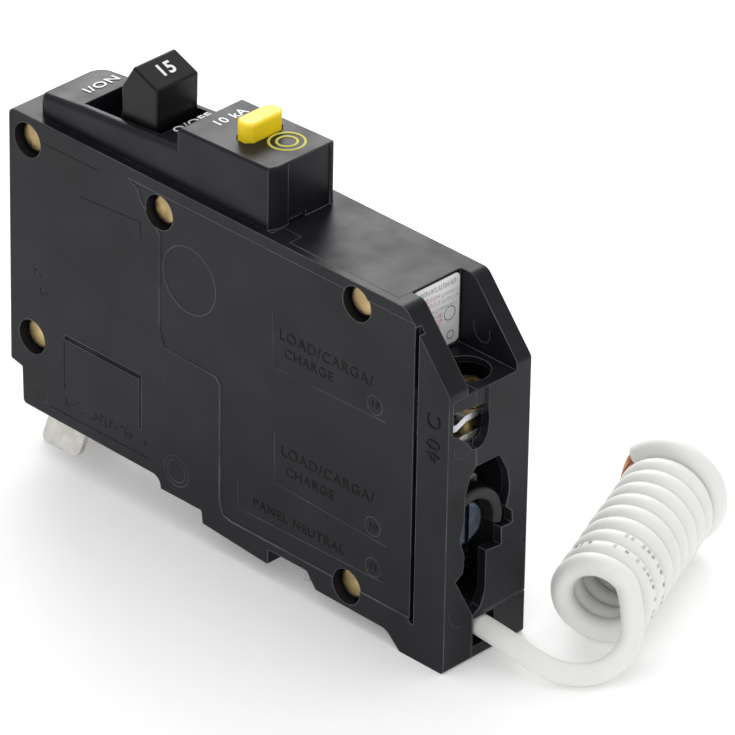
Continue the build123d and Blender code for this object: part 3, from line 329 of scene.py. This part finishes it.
# Zinc plate with a painted dark reflection: its dark bluish tone stands in for the dark
# surroundings that its mirror face reflects.
ZINC_PAINTED_REFLECTION = metal("zinc_painted_reflection", (0.085, 0.105, 0.14), 0.3, (1, 3, 1), 0.45)
INK_WHITE = ink("ink_white", (0.78, 0.79, 0.80), 0.5, 0.06)
INK_YELLOW = ink("ink_yellow", (0.55, 0.52, 0.06), 0.5, 0.12)
INK_GREY = ink("ink_grey", (0.06, 0.06, 0.07), 0.55, 0.3)
INK_WIRE = ink("ink_wire", (0.20, 0.205, 0.22), 0.55, 0.4)
INK_PALE = ink("ink_pale", (0.36, 0.37, 0.38), 0.55, 0.3)
INK_RED = ink("ink_red", (0.62, 0.16, 0.22), 0.5, 0.15)
for entry in frame["record"]["subparts"]:
    paint(entry["node"], MATERIALS[entry["material_slot"]])
# The neutral screw's head takes the painted dark reflection.
paint("neutral_screw", ZINC_PAINTED_REFLECTION)

# -------------------------------------------------------------------------- light and floor
WORLD_STRENGTH = 0.78
FLOOR_HALF = 1.6
FLOOR_GLOW = 0.16
PAPER_SCALE = 300


def area_light(name, spot, aim, size, power):
    """Soft rectangular light aimed at a point."""
    data = bpy.data.lights.new(name, "AREA")
    data.shape = "RECTANGLE"
    data.size, data.size_y = size
    data.energy = power
    light = place_object(name, data)
    light.location = spot
    light.rotation_euler = (Vector(aim) - Vector(spot)).to_track_quat("-Z", "Y").to_euler()


def make_paper():
    """White paper with a faint grain, which glows a little so that it stays white."""
    material, tree, principled, where = shader("paper", (0.92, 0.92, 0.92), 0.9)
    grain = noise(tree, where, PAPER_SCALE, 4)
    tree.links.new(ramp(tree, grain, 0.4, 0.6, ((0.91, 0.91, 0.91), (0.93, 0.93, 0.93))),
                   principled.inputs["Base Color"])
    principled.inputs["Emission Color"].default_value = (1, 1, 1, 1)
    principled.inputs["Emission Strength"].default_value = FLOOR_GLOW
    return material


def make_floor():
    """Square sheet of paper at the height of the floor."""
    corners = [(x * FLOOR_HALF, y * FLOOR_HALF, 0) for x, y in ((-1, -1), (1, -1), (1, 1), (-1, 1))]
    mesh = bpy.data.meshes.new("floor")
    mesh.from_pydata(corners, [], [(0, 1, 2, 3)])
    mesh.materials.append(make_paper())
    return place_object("floor", mesh)


world = bpy.data.worlds.new("studio")
world.use_nodes = True
world.node_tree.nodes["Background"].inputs["Color"].default_value = (1, 1, 1, 1)
world.node_tree.nodes["Background"].inputs["Strength"].default_value = WORLD_STRENGTH
scene.world = world
area_light("overhead", (-0.1, 0.1, 0.75), (0, 0, 0.04), (0.8, 0.6), 1.5)
area_light("back_left", (-0.55, 0.5, 0.45), (0, 0, 0.05), (0.5, 0.4), 3.1)
area_light("front", (0.5, -0.6, 0.35), (0, 0, 0.04), (0.4, 0.4), 0.6)
floor = make_floor()

# ------------------------------------------------------------------------ runs and lettering
FLATTENING = 0.5            # share of a bead's height that is pressed out of it
RUN_STEP = 12               # degrees between the points of a ring
CAP_SHARE = 0.7             # height of a capital as a share of the text's size
LETTER_SPACING = 1.1


def sweep(name, runs, radius, material, face=None, cyclic=False):
    """Fine round beads along runs of points in metres, joined into one mesh piece on the case.

    With a face, a point and its outward normal, the beads lie flattened on it.
    """
    bead = bpy.data.curves.new(name, "CURVE")
    bead.dimensions = "3D"
    bead.bevel_depth = radius
    bead.bevel_resolution = 2
    bead.use_fill_caps = True
    for run in runs:
        part = bead.splines.new("POLY")
        part.points.add(len(run) - 1)
        for point, place in zip(part.points, run):
            point.co = (*place, 1)
        part.use_cyclic_u = cyclic
    shape = as_mesh(name + "_run", bead)
    if face:
        level, normal = face
        for vertex in shape.vertices:
            height = (vertex.co - level).dot(normal)
            vertex.co -= normal * (height * FLATTENING)
    shape.name = name
    shape.materials.clear()
    shape.materials.append(material)
    for polygon in shape.polygons:
        polygon.use_smooth = True
    piece = place_object(name, shape)
    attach(piece, "case")
    return piece


def ring_run(centre, radius, first, second, start=0.0, sweep_angle=360.0):
    """Points round a circle, or part of one, in the plane of two unit vectors."""
    count = max(8, int(abs(sweep_angle) / RUN_STEP))
    angles = [math.radians(start + sweep_angle * i / count)
              for i in range(count + 1 if abs(sweep_angle) < 360 else count)]
    return [centre + first * (radius * math.cos(angle)) + second * (radius * math.sin(angle))
            for angle in angles]


def lettering(name, text, cap, centre, right, up, depth, material, body="case",
              widen=1.0, bold=0.0):
    """Text as a thin solid, centred on a point of a surface, reading along right.

    The cap height, the depth to each side of the surface and the boldness are in millimetres.
    """
    text_curve = bpy.data.curves.new(name, "FONT")
    text_curve.body = text
    text_curve.size = cap / CAP_SHARE
    text_curve.align_x, text_curve.align_y = "CENTER", "CENTER"
    text_curve.extrude = depth
    text_curve.offset = bold
    text_curve.resolution_u = 4
    text_curve.space_character = LETTER_SPACING
    shape = as_mesh(name + "_text", text_curve)
    right, up = Vector(right).normalized(), Vector(up).normalized()
    out = right.cross(up).normalized()
    for vertex in shape.vertices:
        x, y, z = vertex.co * MM
        vertex.co = Vector(centre) + right * (x * widen) + up * y + out * z
    shape.name = name
    shape.materials.clear()
    shape.materials.append(material)
    piece = place_object(name, shape)
    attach(piece, body)
    return piece


# ------------------------------------------------------------------------------------- cord
# Sizes are in millimetres and angles in degrees, up to the points of the curve.
WIRE = 3.9
EXIT = (50.5, -0.2, 5.5)
LEAD_ROUTE = [
    EXIT, (55.6, -0.1, 5.1), (60.6, 0.3, 3.9), (65.4, 1.5, 2.5), (69.0, 4.0, 1.97),
    (71.2, 7.6, 2.1), (72.3, 11.0, 3.8), (72.4, 13.7, 7.0),
]
COIL_FRONT = Vector((63.45, 14.48, 8.7))
COIL_BACK = Vector((48.84, 48.76, 8.7))
COIL_LIFT = 0.27
COIL_LENGTH = (COIL_BACK - COIL_FRONT).length
COIL_AXIS = (COIL_BACK - COIL_FRONT).normalized()
COIL_ACROSS = Vector((COIL_AXIS.y, -COIL_AXIS.x, 0))
POINTS_PER_TURN = 16
FIRST_ANGLE, LAST_ANGLE = 40.0, 9 * 360 + 140.0
TURN_RADIUS = 6.95
WAVER, WAVER_RATE = 0.06, 0.013             # unevenness of the turns, and its rate per degree
LOOSE_SPAN = 215                            # the coil's last degrees, where it springs open
OPENING, OPENING_POWER = 1.9, 1.5
SWELL = 0.9


def coil_point(angle):
    """Control point of the coil's helix at an angle from the right, turning over the top."""
    share = (angle - FIRST_ANGLE) / (LAST_ANGLE - FIRST_ANGLE)
    loose = max(0, (angle - LAST_ANGLE + LOOSE_SPAN) / LOOSE_SPAN)
    radius = (TURN_RADIUS + WAVER * math.sin(angle * WAVER_RATE)
              + OPENING * loose ** OPENING_POWER + SWELL * math.sin(loose * math.pi))
    turn = math.radians(angle)
    middle = COIL_FRONT + Z_DIR * COIL_LIFT + COIL_AXIS * (COIL_LENGTH * share)
    return (middle + COIL_ACROSS * (radius * math.cos(turn))
            + Z_DIR * (radius * math.sin(turn)))


def cord_route():
    """Control points of the lead and its coil, in millimetres."""
    points = [Vector(p) for p in LEAD_ROUTE]
    count = int(round((LAST_ANGLE - FIRST_ANGLE) / 360 * POINTS_PER_TURN))
    for i in range(count + 1):
        points.append(coil_point(FIRST_ANGLE + (LAST_ANGLE - FIRST_ANGLE) * i / count))
    return points


def cord_curve(points):
    """Smooth round cord along the control points."""
    made = bpy.data.curves.new("pigtail", "CURVE")
    made.dimensions = "3D"
    made.bevel_depth = WIRE / 2 * MM
    made.bevel_resolution = 6
    made.use_fill_caps = True
    spline = made.splines.new("NURBS")
    spline.points.add(len(points) - 1)
    for point, place in zip(spline.points, points):
        point.co = (*(place * MM), 1)
    spline.order_u = 3
    spline.use_endpoint_u = True
    spline.resolution_u = 6
    return made


def middle_line(thick_curve):
    """Points along the middle of a cord, in metres."""
    thin_curve = thick_curve.copy()
    thin_curve.bevel_depth = 0
    return [v.co.copy() for v in as_mesh("line", thin_curve).vertices]


curve = cord_curve(cord_route())
pigtail = place_object("pigtail", curve)
curve.materials.append(MATERIALS["wire_white"])
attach(pigtail, "case")
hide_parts("pigtail_lead", "pigtail_coil")
path = middle_line(curve)

# Copper strands of the stripped end, laid up in a loose twist
STRIPPED = 5.4
STRAND_RADIUS = 0.21
STRAND_RINGS = ((0.0, 1), (0.42, 6), (0.84, 12))       # ring radius and number of strands
STRAND_STEPS = 12
STRAND_TWIST = 1.6                                     # radians over the stripped length
STRAND_SPRAY = 0.15                                    # widening towards the tip
BEND_START, BEND_CORNER, BEND_FORWARD, BEND_DROP = 0.6, 1.4, 0.7, 0.8
tip = path[-1]
ahead = (path[-1] - path[-3]).normalized()
level_end = ahead.cross(Z_DIR).normalized()


def bend_point(share):
    """Point on the stripped end's middle line, which droops beside the coil."""
    first, corner = tip - ahead * BEND_START * MM, tip + ahead * BEND_CORNER * MM
    last = corner + ahead * BEND_FORWARD * MM - Vector((0, 0, STRIPPED * MM * BEND_DROP))
    return first.lerp(corner, share).lerp(corner.lerp(last, share), share)


def strand_run(ring, start, spray, reach):
    """Points along one strand, which starts at an angle on its ring."""
    run = []
    for j in range(STRAND_STEPS + 1):
        share = j / STRAND_STEPS * reach
        heading = (bend_point(share + 0.02) - bend_point(share - 0.02)).normalized()
        beside = heading.cross(level_end).normalized()
        around = start + STRAND_TWIST * share
        away = ring * MM * (1 + STRAND_SPRAY * share) * spray
        run.append(bend_point(share) + beside * (away * math.cos(around))
                   + heading.cross(beside) * (away * math.sin(around)))
    return run


strands = []
for ring, members in STRAND_RINGS:
    for i in range(members):
        start = math.tau * i / members + ring
        spray = random.uniform(0.92, 1.12)
        reach = random.uniform(0.93, 1.0)
        strands.append(strand_run(ring, start, spray, reach))
bare_end = sweep("bare_strands", strands, STRAND_RADIUS * MM, MATERIALS["copper"])
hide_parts("pigtail_strands")

# Small marks printed along the first turns of the coil
MARKED_ARCS = ((1, 82, -22), (2, 78, -28), (1, 130, 100))      # turn, first and last angle
MARK_GAPS = (7.5, 8.5, 8.5, 15.0)                              # degrees
IS_UPRIGHT = (True,) * 4 + (False,) * 3
UPRIGHT_HALF, UPRIGHT_ASIDE = 0.5, 0.16
LEVEL_HALF, LEVEL_ASIDE = 0.34, 0.28
MARK_STEPS = 4
MARK_SUNK = 0.02


def wire_spot(turn, angle):
    """Point of the cord's middle line at an angle of a turn, with its own directions."""
    wanted = coil_point(turn * 360 + angle) * MM
    index = min(range(1, len(path) - 1), key=lambda k: (path[k] - wanted).length_squared)
    here, along = path[index], (path[index + 1] - path[index - 1]).normalized()
    front = COIL_FRONT * MM
    middle = front + COIL_AXIS * (here - front).dot(COIL_AXIS)
    outward = (here - middle).normalized()
    outward = (outward - along * outward.dot(along)).normalized()
    return here, along, outward, along.cross(outward)


def wire_mark(turn, angle, upright):
    """Strokes of one character: two that run round the wire, or three that run along it."""
    here, along, outward, sideways = wire_spot(turn, angle)
    surface = WIRE / 2 * MM - MARK_SUNK * MM
    strokes = []
    for side in ((-1, 1) if upright else (-1, 0, 1)):
        run = []
        for k in range(MARK_STEPS + 1):
            share = k / (MARK_STEPS / 2) - 1
            around = UPRIGHT_HALF * MM * share if upright else LEVEL_ASIDE * MM * side
            step = UPRIGHT_ASIDE * MM * side if upright else LEVEL_HALF * MM * share
            tilt = around / (WIRE / 2 * MM)
            lean = outward * math.cos(tilt) + sideways * math.sin(tilt)
            run.append(here + along * step + lean * surface)
        strokes.append(run)
    return strokes


def ink_marks():
    """Short strokes on the outside of the turns, at the pitch of small print."""
    runs = []
    for turn, first, last in MARKED_ARCS:
        angle = first
        while angle > last:
            runs += wire_mark(turn, angle, random.choice(IS_UPRIGHT))
            angle -= random.choice(MARK_GAPS)
    return runs


sweep("wire_print", ink_marks(), 0.05 * MM, INK_WIRE)

# ---------------------------------------------------------------------- marks on the casing
SIDE_Y = -9.525                             # the casing's side
SUNK_Y = SIDE_Y + 0.2                       # the floor of the recess in its side
END_X = 51.5                                # the load end
POCKET_Y = 6.2                              # the inner wall of the load end's pocket
SIDE_FACE = (mm(0, SIDE_Y, 0), -Y_DIR)
SUNK_FACE = (mm(0, SUNK_Y, 0), -Y_DIR)
END_FACE = (mm(END_X, 0, 0), X_DIR)
POCKET_FACE = (mm(0, POCKET_Y, 0), -Y_DIR)
UPRIGHT_SHARE = 0.6                         # share of a dash's places that have an upright
LEVEL_LENGTH = 0.6                          # length of a level stroke, as a share of the step


def on_sunk(x, z):
    """Point on the floor of the recess in the casing's side."""
    return mm(x, SUNK_Y, z)


def on_side(x, z):
    """Point on the casing's side."""
    return mm(x, SIDE_Y, z)


def dashes(first, last, height, step, gaps=0.2):
    """Row of short upright and level strokes between two points (x, z) of the side."""
    runs = []
    length = math.hypot(last[0] - first[0], last[1] - first[1])
    unit = ((last[0] - first[0]) / length, (last[1] - first[1]) / length)
    at = 0.0
    while at < length:
        if random.random() > gaps:
            x, z = first[0] + unit[0] * at, first[1] + unit[1] * at
            if random.random() < UPRIGHT_SHARE:
                runs.append([on_side(x, z), on_side(x, z + height)])
            level = z + random.choice((0, height / 2, height))
            runs.append([on_side(x, level), on_side(x + step * LEVEL_LENGTH, level)])
        at += step
    return runs


TERMINAL_SPOTS = ((34.7, 44.3), (34.7, 21.1), (34.9, 13.3))
leaders = [
    [on_sunk(11.1, 52.3), on_sunk(11.5, 41.5), on_sunk(37.2, 42.1)],
    [on_sunk(11.9, 29.3), on_sunk(12.0, 19.5), on_sunk(37.8, 18.6)],
    [on_sunk(3.3, 16.0), on_sunk(3.4, 10.8), on_sunk(37.9, 11.4)],
]
sweep("leader_lines", leaders, 0.11 * MM, RIDGE_GREY, SUNK_FACE)
circles = [ring_run(on_sunk(x, z), 1.75 * MM, X_DIR, Z_DIR) for x, z in TERMINAL_SPOTS]
sweep("terminal_rings", circles, 0.11 * MM, RIDGE_GREY, SUNK_FACE, cyclic=True)
emblem = [ring_run(on_side(x, z), radius * MM, X_DIR, Z_DIR)
          for x, z, radius in ((-11.1, 11.6, 2.9), (-11.1, 11.6, 2.1), (-44.2, 12.4, 1.7))]
sweep("moulded_rings", emblem, 0.1 * MM, RIDGE_GREY, SIDE_FACE, cyclic=True)
small = dashes((-45.6, 35.0), (-41.3, 35.0), 1.5, 1.15)
small += dashes((-45.2, 32.2), (-41.2, 32.2), 1.2, 1.1)
small += dashes((-37.9, 13.0), (-18.6, 13.0), 1.5, 1.2, 0.14)
small += [
    [on_side(-42.0, 11.0), on_side(-17.6, 11.1)],
    [on_side(-44.0, 61.6), on_side(-30.2, 61.8)],
    [on_side(-34.3, 55.0), on_side(-19.9, 56.1), on_side(-19.7, 52.8)],
    [on_side(-38.4, 25.3), on_side(-38.4, 15.8)],
]
sweep("moulded_strokes", small, 0.09 * MM, LETTER_BLACK, SIDE_FACE)

# Witness marks of the mould on the load end and on the pocket's inner wall
end_marks = [
    ring_run(mm(END_X, -6.0, 42.4), 2.2 * MM, Y_DIR, Z_DIR, 0, 359),
    ring_run(mm(END_X, -5.1, 11.0), 3.3 * MM, Y_DIR, Z_DIR, 170, 145),
]
sweep("end_marks", end_marks, 0.07 * MM, RIDGE_GREY, END_FACE)
pocket_mark = [mm(x, POCKET_Y, z)
               for x, z in ((41.6, 56.9), (41.7, 55.6), (42.3, 54.3), (43.4, 53.6),
                            (44.6, 53.8), (45.2, 54.8), (45.2, 56.4))]
sweep("pocket_mark", [pocket_mark], 0.09 * MM, RIDGE_GREY, POCKET_FACE)

# ------------------------------------------------------------------------ words and figures
NOSE_SLOPE = Vector((-1, 0, -0.09)).normalized()
BLOCK_SLOPE = (-1, 0, -0.036)
HANDLE_SLOPE = (-5.7, 0, 2.3)
PRINT_DEPTH, MOULDED_DEPTH, RATING_DEPTH = 0.03, 0.06, 0.12
for name, text, cap, centre, slope, widen, bold in (
        ("mark_on", "I/ON", 2.1, (-39.7, 0.7, 70.39), NOSE_SLOPE, 1.1, 0.03),
        ("mark_off", "O/OFF", 1.8, (-17.35, 0.2, 72.24), NOSE_SLOPE, 1.1, 0.03),
        ("mark_ten", "10 kA", 1.95, (-9.2, 0.7, 76.24), BLOCK_SLOPE, 0.98, 0.05)):
    lettering(name, text, cap, mm(*centre), Y_DIR, slope, PRINT_DEPTH, INK_WHITE,
              widen=widen, bold=bold)
lettering("mark_fifteen", "15", 2.5, mm(-22.7, -0.9, 80.58), Y_DIR, HANDLE_SLOPE, PRINT_DEPTH,
          INK_WHITE, "handle", bold=0.09)
for name, text, cap, x, z in (("mark_load_a", "LOAD/CARGA/", 1.95, 23.3, 48.3),
                              ("mark_load_b", "CHARGE", 1.75, 19.4, 45.2),
                              ("mark_load_c", "LOAD/CARGA/", 1.95, 24.0, 26.3),
                              ("mark_load_d", "CHARGE", 1.75, 20.0, 22.8),
                              ("mark_panel", "PANEL NEUTRAL", 1.7, 17.5, 13.4)):
    lettering(name, text, cap, on_sunk(x, z), X_DIR, Z_DIR, MOULDED_DEPTH, LETTER_BLACK,
              widen=1.08)
lettering("mark_rating", "40 C", 3.0, on_side(48.2, 43.8), Z_DIR, -X_DIR, RATING_DEPTH,
          LETTER_BLACK)
for name, text, (x, z) in zip(("mark_ring_a", "mark_ring_b", "mark_ring_c"), ("10", "10", "11"),
                              TERMINAL_SPOTS):
    lettering(name, text, 1.3, on_sunk(x, z), X_DIR, Z_DIR, MOULDED_DEPTH, LETTER_BLACK)
TEST_SPOT = mm(3.6, 1.1, 76.7)
BLOCK_FACE = (TEST_SPOT, Vector((-0.036, 0, 1)).normalized())
test_rings = [ring_run(TEST_SPOT, radius * MM, X_DIR, Y_DIR) for radius in (3.05, 1.75)]
sweep("test_rings", test_rings, 0.26 * MM, INK_YELLOW, BLOCK_FACE, cyclic=True)

# ------------------------------------------------------------------------------ label print
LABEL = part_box("label")
LABEL_X = LABEL[1][0]
LABEL_FACE = (Vector((LABEL_X, 0, 0)), X_DIR)
PITCH_LEAST, PITCH_MOST = 0.28, 0.46
SLANT = 0.12
LEVEL_ODDS = 0.5
LEVEL_REACH = 0.7


def on_label(y, z):
    """Point on the label's outer face."""
    return Vector((LABEL_X, y * MM, z * MM))


def print_rows(name, rows, material):
    """Fine horizontal print on the label, each row (y start, y end, z, stroke height)."""
    runs = []
    for low, high, z, height in rows:
        y = low
        while y < high:
            step = random.uniform(PITCH_LEAST, PITCH_MOST)
            runs.append([on_label(y, z - height / 2),
                         on_label(y + random.uniform(-SLANT, SLANT), z + height / 2)])
            if random.random() < LEVEL_ODDS:
                level = z + random.choice((-0.5, 0, 0.5)) * height
                runs.append([on_label(y, level), on_label(y + step * LEVEL_REACH, level)])
            y += step
    return sweep(name, runs, 0.05 * MM, material, LABEL_FACE)


print_rows("label_heading", [(-3.9, 5.0, 63.7, 0.85)], INK_GREY)
print_rows("label_lines", [(1.8, 5.4, 62.0, 0.7), (1.8, 5.4, 60.8, 0.7), (-1.2, 5.2, 59.6, 0.6),
                           (-1.0, 1.6, 55.2, 0.5), (-0.8, 1.4, 54.3, 0.5)], INK_PALE)
print_rows("label_red", [(-3.2, 1.4, 62.2, 0.8), (-2.6, 1.2, 61.0, 0.8), (-2.2, 1.9, 58.5, 0.9),
                         (-1.9, 1.7, 57.4, 0.8), (-1.5, 1.4, 56.3, 0.8), (-0.6, 1.2, 53.8, 0.5)],
           INK_RED)
label_rings = [ring_run(on_label(3.7, 58.0), 1.25 * MM, Y_DIR, Z_DIR),
               ring_run(on_label(3.9, 53.9), 0.75 * MM, Y_DIR, Z_DIR)]
sweep("label_rings", label_rings, 0.07 * MM, INK_GREY, LABEL_FACE, cyclic=True)

# -------------------------------------------------------------------------- pressed springs
SPRING_STEPS = 24                           # points per turn
PLUNGER_AXIS = (-0.6, 48.2)
BUTTON_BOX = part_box("test_button_spring")
BUTTON_AXIS = [(BUTTON_BOX[0][i] + BUTTON_BOX[1][i]) / 2 / MM for i in (0, 1)]


def pressed_spring(name, node, start, along, length, radius, wire, turns):
    """Round-wire spring in place of the fixed solid."""
    along = Vector(along)
    first = along.orthogonal().normalized()
    second = along.cross(first)
    steps = turns * SPRING_STEPS
    run = []
    for i in range(steps + 1):
        angle = math.tau * i / SPRING_STEPS
        run.append(mm(*start) + along * (length * MM * i / steps)
                   + first * (radius * MM * math.cos(angle))
                   + second * (radius * MM * math.sin(angle)))
    piece = sweep(name, [run], wire * MM, MATERIALS["steel_spring"])
    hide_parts(node)
    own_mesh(piece)


pressed_spring("return_spring", "plunger_spring", (17.5, *PLUNGER_AXIS), (1, 0, 0), 6.7, 1.4,
               0.2, 7)
pressed_spring("button_spring", "test_button_spring", (*BUTTON_AXIS, 67.0), (0, 0, 1), 5.8, 1.6,
               0.25, 5)
